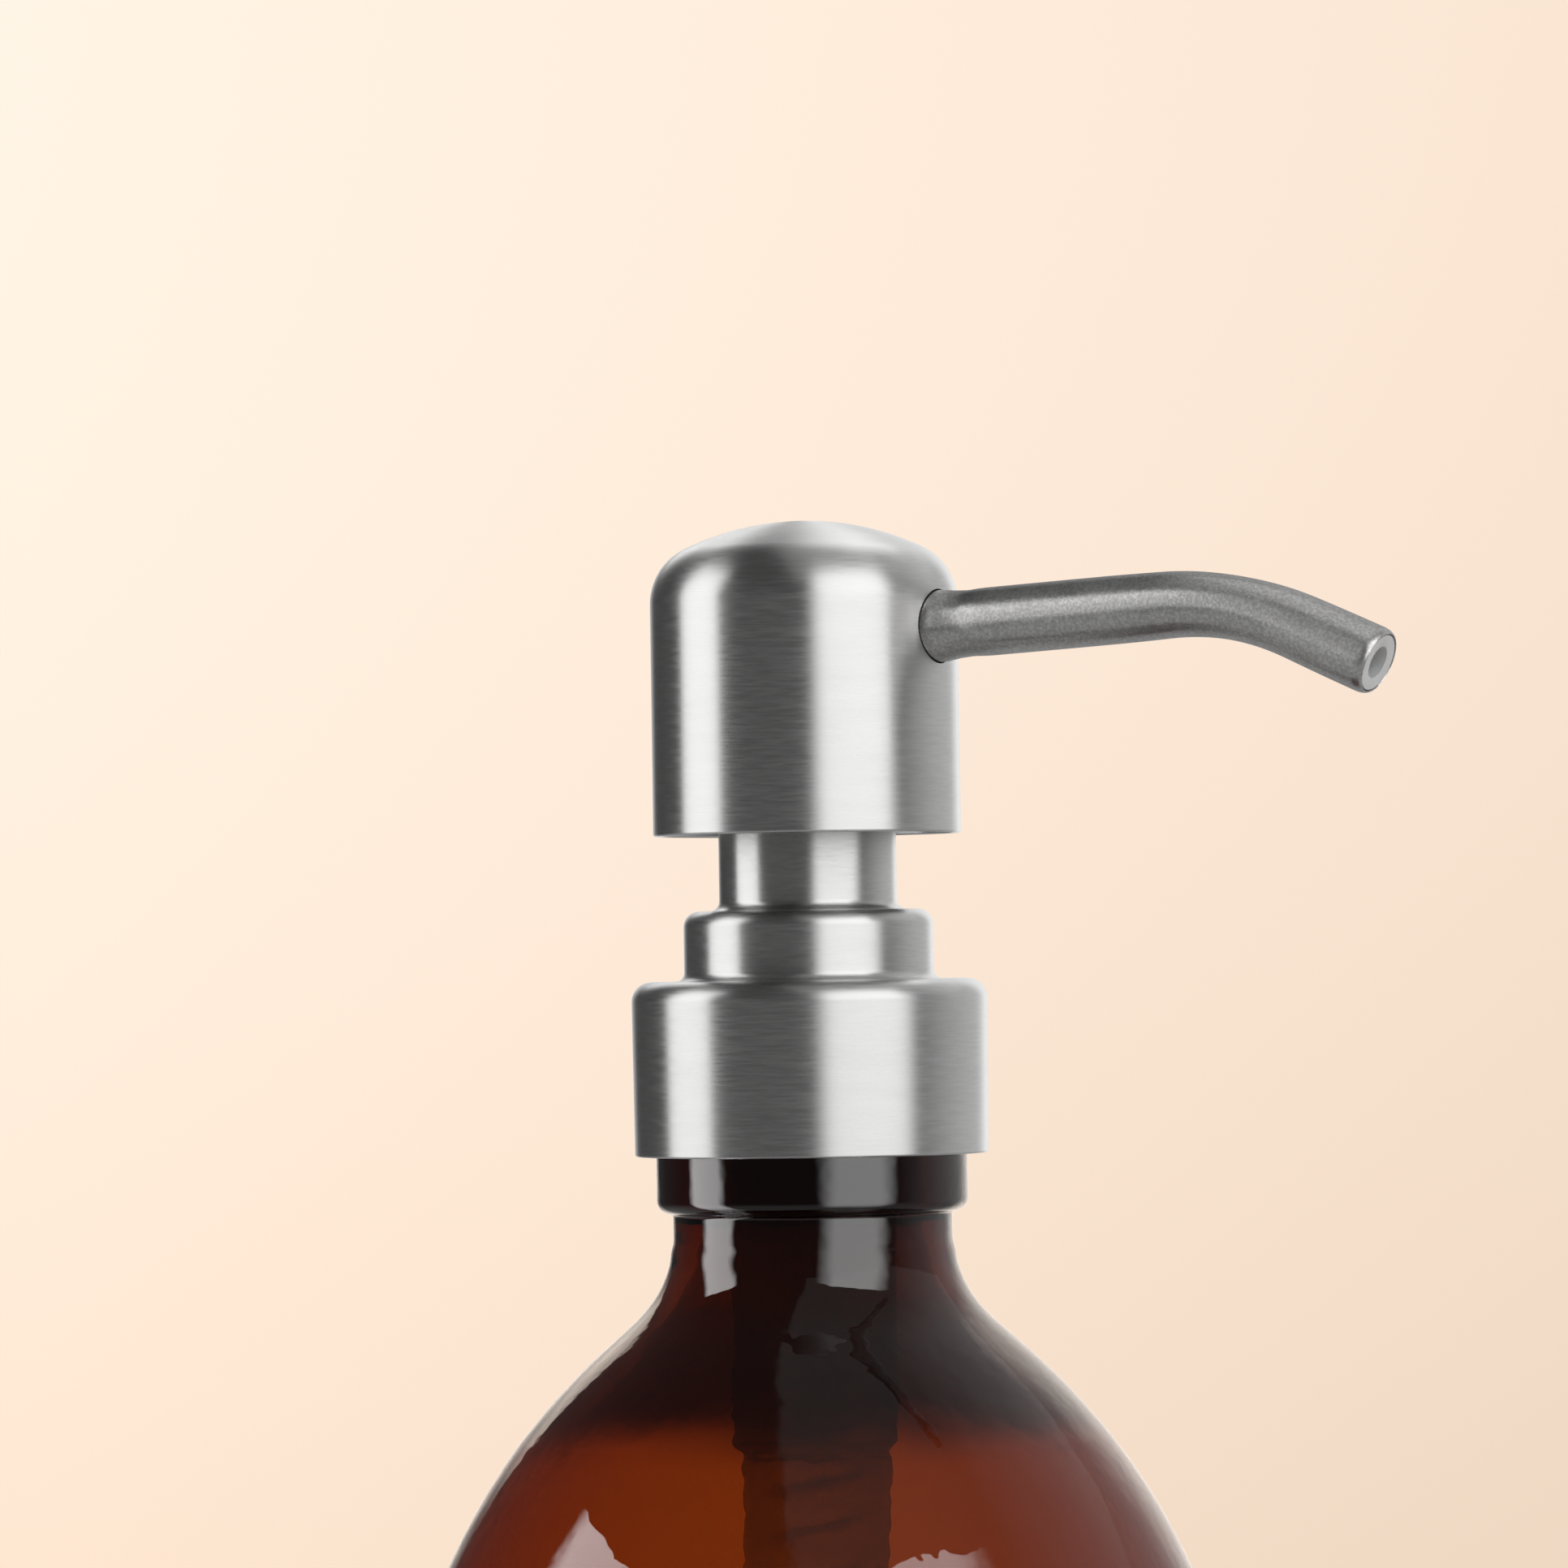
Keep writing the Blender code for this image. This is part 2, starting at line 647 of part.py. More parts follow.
amber_glass = principled("amber_glass", (0.32, 0.09, 0.01), 0.05, transmission=1.0)
brushed_steel = principled("brushed_steel", (0.62, 0.61, 0.60), 0.28, metallic=1.0)
satin_steel = principled("satin_steel", (0.55, 0.54, 0.53), 0.42, metallic=1.0)
spring_steel = principled("spring_steel", (0.60, 0.60, 0.60), 0.25, metallic=1.0)
white_plastic = principled("white_plastic", (0.82, 0.82, 0.80), 0.40)
clear_plastic = principled("clear_plastic", (0.75, 0.76, 0.76), 0.30, transmission=0.6)
dark_rubber = principled("dark_rubber", (0.05, 0.05, 0.05), 0.70)

make_bottle(amber_glass)
make_collar_shell(brushed_steel)
make_collar_insert(white_plastic)
make_gasket(dark_rubber)
make_housing(white_plastic)
make_chaplet(white_plastic)
make_stem(white_plastic)
make_piston(clear_plastic)
make_piston_rod(white_plastic)
make_return_spring(spring_steel)
make_ball_retainer(white_plastic)
make_inlet_ball(spring_steel)
make_dip_tube(clear_plastic)
make_head_shell(brushed_steel)
make_head_core(white_plastic)
make_spout(satin_steel, clear_plastic, dark_rubber)

for part in parts.objects:
    if part.type == "MESH":
        part.data.shade_smooth()
        part.data.set_sharp_from_angle(angle=radians(35))
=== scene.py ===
"""Looks of the soap pump dispenser: an amber glass bottle with a brushed-steel lotion pump.

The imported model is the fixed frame. A profile point is (radius, height) in millimetres, with
heights counted up from the bottle's mouth, and a third number is that corner's fillet radius.
The view, the materials and the studio are in metres, with heights counted up from the floor.
Azimuths are degrees round +Z from straight in front (-Y), growing towards +X.
"""

import json
from math import acos, asin, atan, atan2, ceil, cos, exp, pi, radians, sin, sqrt, tan, tau

import bmesh
import bpy
from mathutils import Euler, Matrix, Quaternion, Vector

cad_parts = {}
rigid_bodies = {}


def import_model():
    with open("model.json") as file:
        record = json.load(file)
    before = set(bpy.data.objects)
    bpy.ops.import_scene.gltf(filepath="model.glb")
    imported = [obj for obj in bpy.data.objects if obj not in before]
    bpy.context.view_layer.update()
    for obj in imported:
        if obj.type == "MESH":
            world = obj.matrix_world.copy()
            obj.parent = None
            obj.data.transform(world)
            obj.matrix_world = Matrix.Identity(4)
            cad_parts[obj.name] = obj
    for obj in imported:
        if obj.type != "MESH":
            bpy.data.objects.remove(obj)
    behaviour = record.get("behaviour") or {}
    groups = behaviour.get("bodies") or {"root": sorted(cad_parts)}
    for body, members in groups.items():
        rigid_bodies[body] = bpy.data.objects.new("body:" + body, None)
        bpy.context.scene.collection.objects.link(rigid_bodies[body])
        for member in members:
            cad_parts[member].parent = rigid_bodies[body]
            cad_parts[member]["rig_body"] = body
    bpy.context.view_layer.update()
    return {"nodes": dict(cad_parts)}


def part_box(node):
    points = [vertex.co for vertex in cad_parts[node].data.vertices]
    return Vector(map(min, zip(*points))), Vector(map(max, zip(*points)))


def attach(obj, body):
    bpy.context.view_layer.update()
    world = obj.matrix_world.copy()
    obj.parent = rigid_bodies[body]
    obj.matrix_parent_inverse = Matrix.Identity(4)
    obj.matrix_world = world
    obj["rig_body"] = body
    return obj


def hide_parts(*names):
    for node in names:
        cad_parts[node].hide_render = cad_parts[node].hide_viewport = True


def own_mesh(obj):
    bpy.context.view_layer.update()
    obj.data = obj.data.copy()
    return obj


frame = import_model()

MM = 0.001
MOUTH_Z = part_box("bottle")[1].z


def high(node, axis):
    """The far side of a CAD node along an axis: a radius, or a height above the mouth, in mm."""
    value = getattr(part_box(node)[1], axis)
    return (value - (MOUTH_Z if axis == "z" else 0.0)) / MM


def low_height(node):
    return (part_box(node)[0].z - MOUTH_Z) / MM


# ---------------------------------------------------------------- sizes, in millimetres

BODY_R = high("bottle", "x")
GLASS_WALL = 2.8
FLOOR_THICKNESS = 4.5
HEEL_FILLET = 5.0
BASE_RING_INNER_R = 30.5
BASE_RECESS_R = 29.5
BASE_RECESS = 0.8
SHOULDER_ARC_R = 57.7
SHOULDER_H = -71.7
FLANK_SPACING = 0.4
FLANK_EASING_PASSES = 60
NECK_R = 12.6
NECK_ARC_R = 9.0
INNER_NECK_ARC_R = 20.0
BEAD_R = 14.05
BEAD_TOP_H = -10.2
BEAD_BOTTOM_H = -16.2
SEAM_H = -19.6
SEAM_PROUD = 0.09
SEAM_SPREAD = 1.3
THREAD_PITCH = 4.23
THREAD_TURNS = 1.3
THREAD_TOP_H = -2.0
THREAD_PROUD = 1.1
THREAD_HALF_WIDTH = 0.95 * THREAD_PROUD

STEEL_SHEET = 0.5
SKIRT_TOP_R = high("collar_shell", "x")
SKIRT_BOTTOM_R = SKIRT_TOP_R - 0.15
SKIRT_BOTTOM_H = low_height("collar_shell")
CHIMNEY_TOP_H = high("collar_shell", "z")
SHOULDER_TOP_H = 4.7
STEP_R = 11.275
STEP_TOP_H = 11.0
CHIMNEY_R = 8.025

HEAD_R = 13.9
HEAD_SHEET = 0.6
RIM_H = low_height("head_shell")
CROWN_TOP_H = high("head_shell", "z")
CROWN_R = 25.0
CROWN_FILLET = 5.5

SPOUT_R = 3.05
SPOUT_WALL = 0.4
SPOUT_EXIT_H = 36.2
SPOUT_RISE = radians(2.7)
SPOUT_DROOP = radians(24.0)
SPOUT_BEND_X = 43.4
SPOUT_BEND_R = 29.0
BEND_SQUASH = 0.07
BEND_SPREAD = 7.0
SPOUT_TIP_X = 57.0
SPOUT_HOLE_R = 3.35
SPOUT_START_X = 7.4
SPOUT_FLARE = 0.17
SPOUT_WAIST = 0.10
TIP_ROLL_IN = 0.40
TIP_ROLL_LENGTH = 1.0
LINER_R = 2.58
LINER_BORE_R = 1.45
LINER_START_X = 5.5
LINER_SHORT_BY = 0.08

SPRING_R = 4.2
SPRING_WIRE_R = 0.4
SPRING_TURNS = 9

# ---------------------------------------------------------------- view

CAMERA_AZIMUTH = 29.0
CAMERA_DISTANCE = 0.70
CAMERA_Z = 0.1829
LENS = 178.0
SENSOR_WIDTH = 36.0
TILT = radians(1.27)
LEAN = radians(0.85)
AXIS_OFF_CENTRE = radians(0.165)


# ---------------------------------------------------------------- meshes


def arc(centre, radius, start, end, step=radians(5)):
    """Points on a circle round centre, from one angle to another in radians."""
    steps = max(2, ceil(abs(end - start) / step))
    angles = [start + (end - start) * k / steps for k in range(steps + 1)]
    return [(centre[0] + radius * cos(a), centre[1] + radius * sin(a)) for a in angles]


def outline(corners):
    """The corners as points, with an arc at each corner that states a fillet radius."""
    points = []
    for i, corner in enumerate(corners):
        here = Vector(corner[:2])
        if len(corner) == 2:
            points.append(tuple(here))
            continue
        back = (Vector(corners[i - 1][:2]) - here).normalized()
        ahead = (Vector(corners[(i + 1) % len(corners)][:2]) - here).normalized()
        half = back.angle(ahead) / 2
        centre = here + (back + ahead).normalized() * corner[2] / sin(half)
        first = here + back * corner[2] / tan(half) - centre
        last = here + ahead * corner[2] / tan(half) - centre
        start = atan2(first.y, first.x)
        turn = (atan2(last.y, last.x) - start + pi) % tau - pi
        points += arc(centre, corner[2], start, start + turn, radians(12))
    return points


def stretch(start, end, spacing):
    """Evenly spaced points from start up to, but not including, end."""
    steps = ceil((Vector(end) - Vector(start)).length / spacing)
    return [tuple(Vector(start).lerp(Vector(end), k / steps)) for k in range(steps)]


def upright(height):
    """The frame of the main axis at a height: a centre, and two directions across it."""
    return Vector((0, 0, height)), Vector((1, 0, 0)), Vector((0, 1, 0))


def skin(name, points, segments, axis=upright, closed=True, swell=None):
    """A tube-like mesh round an axis, from (radius, place along the axis) points.

    The points run along one side and back along the other. swell(angle, place along the axis,
    radius) is how far the surface stands proud there.
    """
    mesh = bmesh.new()
    rings = []
    for radius, along in points:
        centre, across, beside = axis(along)
        ring = []
        for k in range(segments if radius > 1e-6 else 1):
            angle = tau * k / segments
            out = radius + (swell(angle, along, radius) if swell else 0.0)
            place = centre + (across * cos(angle) + beside * sin(angle)) * out
            ring.append(mesh.verts.new(place * MM + Vector((0, 0, MOUTH_Z))))
        rings.append(ring)
    pairs = list(zip(rings, rings[1:]))
    if closed:
        pairs.append((rings[-1], rings[0]))
    for upper, lower in pairs:
        for k in range(segments):
            after = (k + 1) % segments
            corners = [
                upper[k % len(upper)],
                lower[k % len(lower)],
                lower[after % len(lower)],
                upper[after % len(upper)],
            ]
            mesh.faces.new(list(dict.fromkeys(corners)))
    bmesh.ops.recalc_face_normals(mesh, faces=mesh.faces)
    return finished(name, mesh)


def finished(name, mesh):
    """A smooth-shaded object of a bmesh, with its flat faces kept flat."""
    data = bpy.data.meshes.new(name)
    mesh.to_mesh(data)
    mesh.free()
    data.shade_smooth()
    data.set_sharp_from_angle(angle=radians(40))
    obj = bpy.data.objects.new(name, data)
    bpy.context.scene.collection.objects.link(obj)
    return obj


def weigh_normals(obj):
    """Keeps large faces flat to the eye where they meet small fillet faces."""
    modifier = obj.modifiers.new("Weighted normals", "WEIGHTED_NORMAL")
    modifier.keep_sharp = True


def stand_for(obj, node, material):
    """Dresses a new piece, and lets it ride on its CAD node's body in that node's place."""
    obj.data.materials.clear()
    obj.data.materials.append(material)
    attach(obj, frame["nodes"][node]["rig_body"])
    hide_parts(node)
    return obj


# ---------------------------------------------------------------- node trees


class Nodes:
    """Adds and links the nodes of one material or world."""

    def __init__(self, tree):
        self.tree = tree
        tree.nodes.clear()

    def add(self, kind, inputs=None, **settings):
        node = self.tree.nodes.new(kind)
        for key, value in settings.items():
            setattr(node, key, value)
        for key, value in (inputs or {}).items():
            if isinstance(value, bpy.types.NodeSocket):
                self.tree.links.new(value, node.inputs[key])
            else:
                node.inputs[key].default_value = value
        return node

    def math(self, operation, a, b=0.0):
        return self.add("ShaderNodeMath", {0: a, 1: b}, operation=operation).outputs[0]

    def vector(self, operation, a, b):
        node = self.add("ShaderNodeVectorMath", {0: a, 1: b}, operation=operation)
        return node.outputs["Value" if operation == "DOT_PRODUCT" else "Vector"]

    def ramp(self, value, low, high, to_low=0.0, to_high=1.0, kind="SMOOTHSTEP"):
        """value between low and high, as a clamped value between to_low and to_high."""
        inputs = {0: value, 1: low, 2: high, 3: to_low, 4: to_high}
        return self.add("ShaderNodeMapRange", inputs, interpolation_type=kind).outputs[0]

    def blend(self, share, a, b):
        """Colour a, turning into colour b as share goes from 0 to 1."""
        inputs = {0: share, 6: rgba(a), 7: rgba(b)}
        return self.add("ShaderNodeMix", inputs, data_type="RGBA").outputs[2]

    def noise(self, vector, scale, detail=2.0, roughness=0.5):
        inputs = {"Vector": vector, "Scale": scale, "Detail": detail, "Roughness": roughness}
        return self.add("ShaderNodeTexNoise", inputs).outputs[0]

    def place(self):
        return self.add("ShaderNodeTexCoord").outputs["Object"]

    def bump(self, height, depth, strength=1.0, normal=None):
        inputs = {"Height": height, "Distance": depth, "Strength": strength}
        if normal:
            inputs["Normal"] = normal
        return self.add("ShaderNodeBump", inputs).outputs[0]

    def principled(self, **inputs):
        """The surface shader; input names are written with _ for a space."""
        named = {key.replace("_", " "): value for key, value in inputs.items()}
        shader = self.add("ShaderNodeBsdfPrincipled", named)
        output = self.add("ShaderNodeOutputMaterial")
        self.tree.links.new(shader.outputs[0], output.inputs["Surface"])
        return output

    def turned_lines(self, around, across, detail):
        """Noise drawn out round the axis, like the marks that turning leaves.

        around is how many features lie along a radian, and across how many lie on a metre
        measured over the lines, up a wall or along a shelf.
        """
        place = self.place()
        flat = self.vector("MULTIPLY", place, (1, 1, 0))
        radius = self.add("ShaderNodeVectorMath", {0: flat}, operation="LENGTH")
        height = self.add("ShaderNodeSeparateXYZ", {0: place}).outputs["Z"]
        over = self.math("SUBTRACT", height, radius.outputs["Value"])
        lift = self.add("ShaderNodeCombineXYZ", {"Z": self.math("MULTIPLY", over, across)})
        facing = self.add("ShaderNodeVectorMath", {0: flat}, operation="NORMALIZE")
        spread = self.vector("MULTIPLY", facing.outputs[0], (around, around, 0))
        lines = self.vector("ADD", spread, lift.outputs[0])
        return self.noise(lines, 1.0, detail, 0.6)

    def specks(self, scale, size, share):
        """Small dots in a share of the cells of a grid that is scale cells to the metre."""
        inputs = {"Vector": self.place(), "Scale": scale}
        cells = self.add("ShaderNodeTexVoronoi", inputs)
        chosen = self.add("ShaderNodeSeparateColor", {0: cells.outputs["Color"]}).outputs[0]
        near = self.ramp(cells.outputs["Distance"], size, size * 0.4)
        return self.math("MULTIPLY", near, self.math("GREATER_THAN", chosen, 1.0 - share))


def rgba(color):
    return (*color, 1.0) if isinstance(color, tuple) and len(color) == 3 else color


def new_material(name):
    material = bpy.data.materials.new(name)
    material.use_nodes = True
    return material, Nodes(material.node_tree)


# ---------------------------------------------------------------- materials


def brushed_steel():
    """Stainless sheet with fine marks round the axis, which draw reflections out along it."""
    material, nodes = new_material("brushed_steel")
    fine = nodes.turned_lines(5.0, 4200.0, 4.0)
    broad = nodes.turned_lines(1.6, 700.0, 2.0)
    tone = nodes.math("ADD", nodes.math("MULTIPLY", fine, 0.8), nodes.math("MULTIPLY", broad, 0.2))
    steel = nodes.blend(nodes.ramp(tone, 0.35, 0.65), (0.59, 0.59, 0.585), (0.66, 0.66, 0.655))
    specks = nodes.specks(900.0, 0.07, 0.12)
    nodes.principled(
        Base_Color=nodes.blend(specks, steel, (0.9, 0.9, 0.9)),
        Metallic=1.0,
        Roughness=nodes.ramp(fine, 0.3, 0.7, 0.29, 0.36),
        Anisotropic=0.85,
        Anisotropic_Rotation=0.25,
        Tangent=nodes.add("ShaderNodeTangent", direction_type="RADIAL", axis="Z").outputs[0],
        Normal=nodes.bump(fine, 0.000006, 0.6),
    )
    return material


def satin_steel():
    """Bead-blasted tube: a fine grain with brighter grains scattered in it."""
    material, nodes = new_material("satin_steel")
    place = nodes.place()
    grain = nodes.noise(place, 3600.0, 3.0, 0.6)
    patches = nodes.noise(place, 260.0, 2.0)
    steel = nodes.blend(nodes.ramp(grain, 0.35, 0.7), (0.44, 0.435, 0.43), (0.64, 0.635, 0.63))
    nodes.principled(
        Base_Color=nodes.blend(nodes.specks(2600.0, 0.2, 0.2), steel, (0.8, 0.8, 0.8)),
        Metallic=1.0,
        Roughness=nodes.ramp(patches, 0.3, 0.7, 0.27, 0.33),
        Normal=nodes.bump(grain, 0.000016, 0.8),
    )
    return material


def amber_glass():
    """Brown glass that colours light by its thickness, with painted shade from the shoulder up.

    Each pair of heights is where one finish or band of painted shade starts to give way to the
    next, and ends.
    """
    smooth_body = (0.10, 0.15)
    shoulder_shade_line = (0.1405, 0.1450)
    neck_shade_line = (0.1480, 0.1530)
    bead_shade_line = (0.1585, 0.1600)
    material, nodes = new_material("amber_glass")
    place = nodes.place()
    height = nodes.add("ShaderNodeSeparateXYZ", {0: place}).outputs["Z"]
    waves = nodes.noise(place, 70.0, 1.0)
    ripples = nodes.noise(place, 240.0, 2.0)
    orange_peel = nodes.ramp(height, *smooth_body, 0.000006, 0.00008)
    # Painted shade: the base colour turns dark brown above a wavy line at the shoulder, then
    # redder and darker at the neck and the bead, where the thick, slanted glass looks dark.
    edge = nodes.math("ADD", height, nodes.math("MULTIPLY", waves, 0.004))
    shoulder = nodes.blend(
        nodes.ramp(edge, *shoulder_shade_line), (0.98, 0.99, 0.98), (0.22, 0.16, 0.13)
    )
    neck = nodes.blend(nodes.ramp(height, *neck_shade_line), shoulder, (0.28, 0.16, 0.12))
    output = nodes.principled(
        Base_Color=nodes.blend(nodes.ramp(height, *bead_shade_line), neck, (0.24, 0.10, 0.07)),
        Roughness=0.0,
        IOR=1.51,
        Transmission_Weight=1.0,
        Normal=nodes.bump(ripples, orange_peel, 1.0, nodes.bump(waves, 0.00008)),
    )
    inside = nodes.add(
        "ShaderNodeVolumeAbsorption", {"Color": (0.80, 0.575, 0.05, 1.0), "Density": 1400.0}
    )
    nodes.tree.links.new(inside.outputs[0], output.inputs["Volume"])
    return material


def spring_steel():
    material, nodes = new_material("spring_steel")
    drawn = nodes.noise(nodes.place(), 2400.0, 2.0)
    nodes.principled(
        Base_Color=nodes.blend(drawn, (0.52, 0.52, 0.53), (0.68, 0.68, 0.68)),
        Metallic=1.0,
        Roughness=nodes.ramp(drawn, 0.3, 0.7, 0.18, 0.30),
        Normal=nodes.bump(drawn, 0.000004),
    )
    return material


def white_plastic():
    """Natural moulded polypropylene, with a faint cloudiness and a fine mould grain."""
    material, nodes = new_material("white_plastic")
    place = nodes.place()
    clouds = nodes.noise(place, 160.0, 3.0)
    grain = nodes.noise(place, 2200.0, 2.0)
    nodes.principled(
        Base_Color=nodes.blend(
            nodes.ramp(clouds, 0.3, 0.7), (0.76, 0.76, 0.74), (0.86, 0.86, 0.84)
        ),
        Roughness=nodes.ramp(grain, 0.3, 0.7, 0.34, 0.48),
        Transmission_Weight=0.9,
        Normal=nodes.bump(grain, 0.000006),
    )
    return material


def clear_plastic():
    """Milky polyethylene with faint clouds, which lets only a little light through."""
    material, nodes = new_material("clear_plastic")
    place = nodes.place()
    clouds = nodes.noise(place, 420.0, 3.0)
    nodes.principled(
        Base_Color=nodes.blend(
            nodes.ramp(clouds, 0.3, 0.7), (0.50, 0.515, 0.525), (0.58, 0.595, 0.605)
        ),
        Roughness=nodes.ramp(clouds, 0.3, 0.7, 0.25, 0.40),
        IOR=1.5,
        Transmission_Weight=0.05,
        Normal=nodes.bump(nodes.noise(place, 1500.0, 2.0), 0.000001),
    )
    return material


def gasket_rubber():
    material, nodes = new_material("gasket_rubber")
    grain = nodes.noise(nodes.place(), 2600.0, 3.0)
    nodes.principled(
        Base_Color=nodes.blend(grain, (0.035, 0.035, 0.037), (0.075, 0.075, 0.077)),
        Roughness=nodes.ramp(grain, 0.3, 0.7, 0.60, 0.80),
        Normal=nodes.bump(grain, 0.000012),
    )
    return material


# ---------------------------------------------------------------- pieces


def seam_ridge(height):
    """The soft ring where the mould's two halves of the neck meet."""
    off = abs(height - SEAM_H) / SEAM_SPREAD
    return SEAM_PROUD * (0.5 + 0.5 * cos(pi * off)) if off < 1.0 else 0.0


def thread_ridge(angle, height, radius):
    """How far the bottle's screw thread, or its mould seam, stands proud of the glass."""
    if radius < NECK_R - 0.5:
        return 0.0
    proud = seam_ridge(height)
    for turns in (angle / tau, angle / tau + 1.0):
        centre = THREAD_TOP_H - THREAD_PITCH * (THREAD_TURNS - turns)
        left = min(turns, THREAD_TURNS - turns)
        off = abs(height - centre) / THREAD_HALF_WIDTH
        if left > 0.0 and off < 1.0:
            run_out = sin(min(1.0, left * 10.0) * pi / 2)
            proud = max(proud, THREAD_PROUD * run_out * sqrt(1.0 - off**2))
    return proud


def flank(neck_r, neck_arc_r, shoulder_arc_r):
    """One face of the glass from the neck down to the body: a hollow arc eased into a full one."""
    centre_r = BODY_R - SHOULDER_ARC_R
    span = shoulder_arc_r + neck_arc_r
    rise = acos((neck_r + neck_arc_r - centre_r) / span)
    turned = radians(15)
    neck_centre = (neck_r + neck_arc_r, SHOULDER_H + span * sin(rise))
    shoulder_centre = (centre_r, SHOULDER_H)
    points = [
        *arc(neck_centre, neck_arc_r, pi, pi + rise, FLANK_SPACING / neck_arc_r),
        *arc(
            shoulder_centre, shoulder_arc_r, rise, rise - turned, FLANK_SPACING / shoulder_arc_r
        )[1:],
    ]
    for _ in range(FLANK_EASING_PASSES):
        inner = [
            tuple((Vector(a) + Vector(b) * 2 + Vector(c)) / 4)
            for a, b, c in zip(points, points[1:], points[2:])
        ]
        points = [points[0], *inner, points[-1]]
    return [*points, *arc(shoulder_centre, shoulder_arc_r, rise - turned, 0, radians(2.5))[1:]]


def make_bottle(glass):
    """The bottle, walled evenly but for its thicker neck root, on a ring round a flat recess."""
    base_h = -MOUTH_Z / MM
    inner_r = BODY_R - GLASS_WALL
    outside = flank(NECK_R, NECK_ARC_R, SHOULDER_ARC_R)
    inside = flank(NECK_R - GLASS_WALL, INNER_NECK_ARC_R, SHOULDER_ARC_R - GLASS_WALL)
    corners = [
        (0, base_h + FLOOR_THICKNESS),
        (inner_r, base_h + FLOOR_THICKNESS, 6.0),
        *reversed(inside),
        (NECK_R - GLASS_WALL, 0, 0.8),
        (NECK_R, 0, 0.8),
        *stretch((NECK_R, -0.9), (NECK_R, BEAD_TOP_H), 0.2),
        (NECK_R, BEAD_TOP_H, 0.25),
        (BEAD_R, BEAD_TOP_H, 0.8),
        (BEAD_R, BEAD_BOTTOM_H, 1.2),
        (NECK_R, BEAD_BOTTOM_H, 0.35),
        *stretch((NECK_R, BEAD_BOTTOM_H - 0.5), outside[0], 0.2),
        *outside,
        (BODY_R, base_h, HEEL_FILLET),
        (BASE_RING_INNER_R, base_h, 0.2),
        (BASE_RECESS_R, base_h + BASE_RECESS, 0.4),
        (0, base_h + BASE_RECESS),
    ]
    bottle = skin("bottle_glass", outline(corners), 160, closed=False, swell=thread_ridge)
    weigh_normals(bottle)
    stand_for(bottle, "bottle", glass)


def make_collar(steel):
    """The steel collar, drawn from one sheet: skirt, middle step and chimney."""
    sheet = STEEL_SHEET
    corners = [
        (CHIMNEY_R - sheet, CHIMNEY_TOP_H, 0.2),
        (CHIMNEY_R, CHIMNEY_TOP_H, 0.2),
        (CHIMNEY_R, STEP_TOP_H, 0.9),
        (STEP_R, STEP_TOP_H, 1.4),
        (STEP_R, SHOULDER_TOP_H, 0.8),
        (SKIRT_TOP_R, SHOULDER_TOP_H, 1.8),
        (SKIRT_BOTTOM_R, SKIRT_BOTTOM_H, 0.2),
        (SKIRT_BOTTOM_R - sheet, SKIRT_BOTTOM_H, 0.2),
        (SKIRT_TOP_R - sheet, SHOULDER_TOP_H - sheet, 1.3),
        (STEP_R - sheet, SHOULDER_TOP_H - sheet, 1.3),
        (STEP_R - sheet, STEP_TOP_H - sheet, 0.9),
        (CHIMNEY_R - sheet, STEP_TOP_H - sheet, 1.4),
    ]
    collar = skin("collar_metal", outline(corners), 144)
    weigh_normals(collar)
    stand_for(collar, "collar_shell", steel)


def crown(radius, top, fillet, wall_r):
    """A shallow dome running into a straight wall, from the apex outwards."""
    centre = (0, top - radius)
    fillet_r = wall_r - fillet
    meet = asin(fillet_r / (radius - fillet))
    fillet_centre = (fillet_r, centre[1] + (radius - fillet) * cos(meet))
    return [
        *arc(centre, radius, pi / 2, pi / 2 - meet, radians(2)),
        *arc(fillet_centre, fillet, pi / 2 - meet, 0, radians(4))[1:],
    ]


def make_head(steel):
    """The pressed cap with its spout hole."""
    sheet = HEAD_SHEET
    outside = crown(CROWN_R, CROWN_TOP_H, CROWN_FILLET, HEAD_R)
    inside = crown(
        CROWN_R - sheet, CROWN_TOP_H - sheet, CROWN_FILLET - sheet, HEAD_R - sheet
    )
    corners = [
        *outside,
        *stretch((HEAD_R, outside[-1][1] - 1.0), (HEAD_R, RIM_H + 1.0), 1.5),
        (HEAD_R, RIM_H, 0.25),
        (HEAD_R - sheet, RIM_H, 0.25),
        *reversed(inside),
    ]
    head = skin("head_metal", outline(corners), 144, closed=False)
    bpy.ops.mesh.primitive_cylinder_add(
        vertices=64,
        radius=SPOUT_HOLE_R * MM,
        depth=8.0 * MM,
        location=(HEAD_R * MM, 0, SPOUT_EXIT_H * MM + MOUTH_Z),
        rotation=(0, pi / 2 - SPOUT_RISE, 0),
    )
    drill = bpy.context.object
    cut = head.modifiers.new("Spout hole", "BOOLEAN")
    cut.operation = "DIFFERENCE"
    cut.object = drill
    apply_modifiers(head)
    bpy.data.objects.remove(drill, do_unlink=True)
    head.data.set_sharp_from_angle(angle=radians(40))
    weigh_normals(head)
    stand_for(head, "head_shell", steel)


def apply_modifiers(obj):
    bpy.context.view_layer.update()
    evaluated = obj.evaluated_get(bpy.context.evaluated_depsgraph_get())
    data = bpy.data.meshes.new_from_object(evaluated)
    obj.modifiers.clear()
    obj.data = data
    data.shade_smooth()


def spout_height(x):
    """Height of the spout's centre line where it still runs straight out of the head."""
    return SPOUT_EXIT_H + (x - HEAD_R) * tan(SPOUT_RISE)


